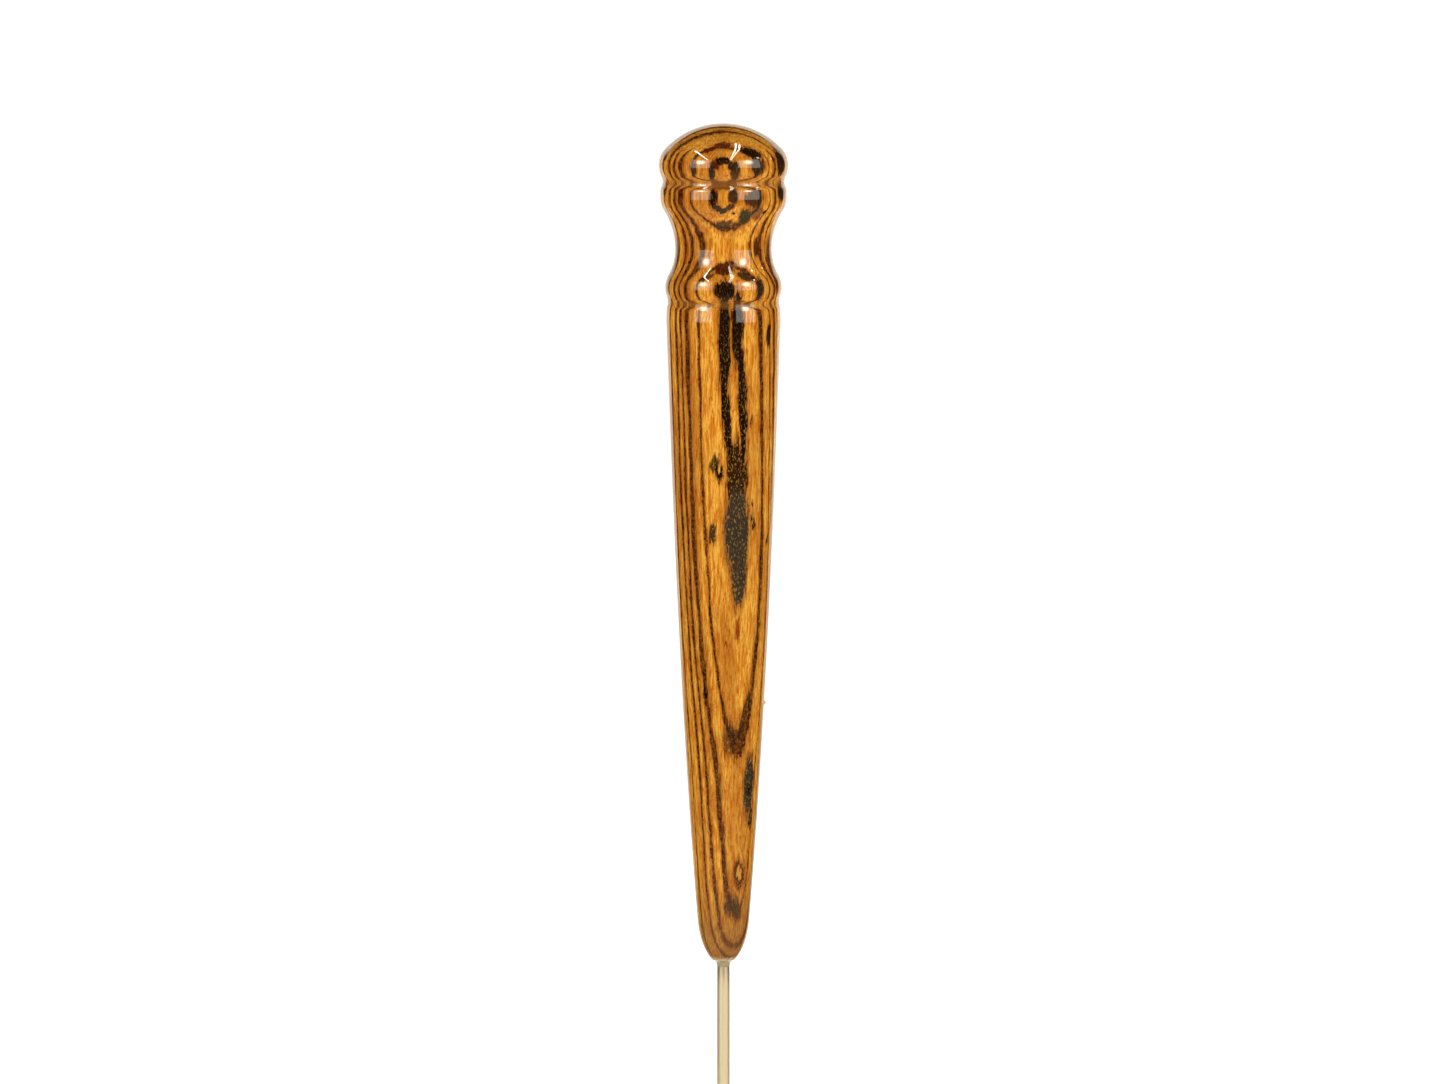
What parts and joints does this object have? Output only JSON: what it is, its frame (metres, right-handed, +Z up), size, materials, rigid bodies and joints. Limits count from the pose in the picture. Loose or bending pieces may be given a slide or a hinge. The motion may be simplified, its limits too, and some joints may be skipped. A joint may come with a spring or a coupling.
{
  "type": "scratch awl",
  "caption": "Slim pointed steel shaft glued into a long turned hardwood handle with a domed end, a waist and a glossy clear finish, for marking and piercing leather.",
  "frame": {"origin": "on the awl's axis at the handle's mouth, where the bare round shaft leaves the glue fillet", "axes": "+Z up the axis, from the point to the handle's domed end; a solid of revolution, so X and Y are alike"},
  "size_m": [0.024, 0.024, 0.2345],
  "materials": {
    "wood": "turned figured hardwood, golden orange with dark brown bands",
    "clear_finish": "thick clear lacquer, high gloss",
    "steel": "bright drawn steel rod, lightly polished",
    "glue": "cured clear glue, glossy"
  },
  "bodies": {
    "root": {"handle": "wood", "clear_finish": "clear_finish", "awl_shaft": "steel", "epoxy_bond": "glue"}
  },
  "joints": []
}
